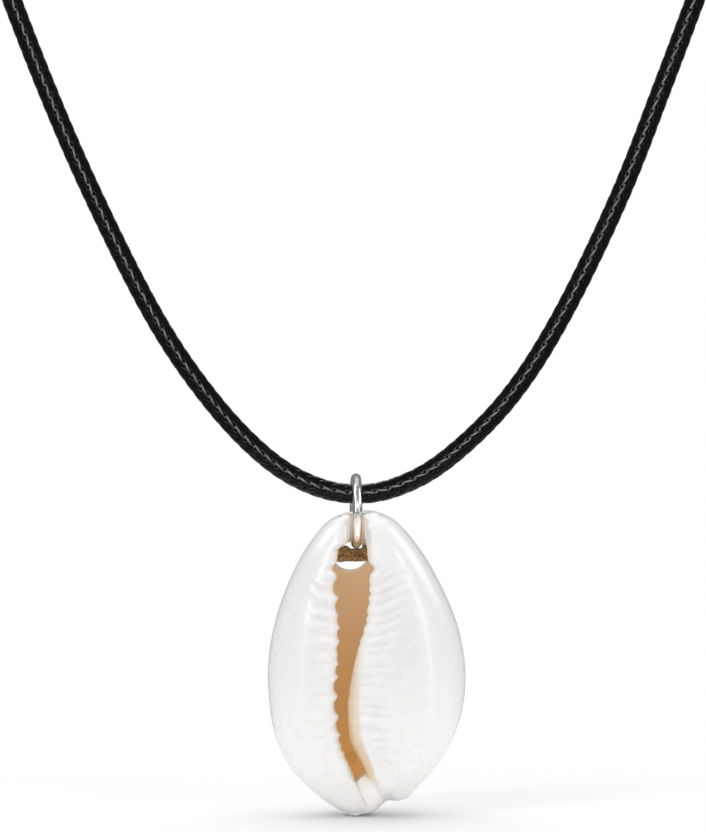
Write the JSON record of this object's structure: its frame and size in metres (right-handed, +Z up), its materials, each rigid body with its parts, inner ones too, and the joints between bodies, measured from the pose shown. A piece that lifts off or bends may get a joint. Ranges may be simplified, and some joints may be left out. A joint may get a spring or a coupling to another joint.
{
  "type": "cowrie shell necklace",
  "caption": "Cord necklace with a toothed cowrie shell pendant hung by a drilled hole on a wire jump ring, closed at the nape by a barrel clasp.",
  "frame": {"origin": "the nape, at the middle of the clasp, where the back of the loop sits on a neck", "axes": "+X to the wearer's left (the viewer's right), +Y from the shell's front towards the nape, +Z up"},
  "size_m": [0.11, 0.1074, 0.1452],
  "materials": {
    "cord": "waxed black round braid",
    "clasp_metal": "plain turned steel",
    "ring_steel": "polished steel wire",
    "shell": "bleached glossy shell, tan inside"
  },
  "bodies": {
    "necklace": {"neck_cord": "cord", "clasp": "clasp_metal"},
    "ring": {"jump_ring": "ring_steel"},
    "shell": {"cowrie_shell": "shell"}
  },
  "joints": [
    {"name": "pendant_swing", "type": "hinge", "parent": "necklace", "child": "ring", "pos_m": [0, -0.1, -0.118], "axis": [1, 0, 0], "range_deg": [-80, 80]},
    {"name": "shell_rock", "type": "hinge", "parent": "ring", "child": "shell", "pos_m": [0, -0.1, -0.122], "axis": [0, 1, 0], "range_deg": [-5, 5]}
  ]
}
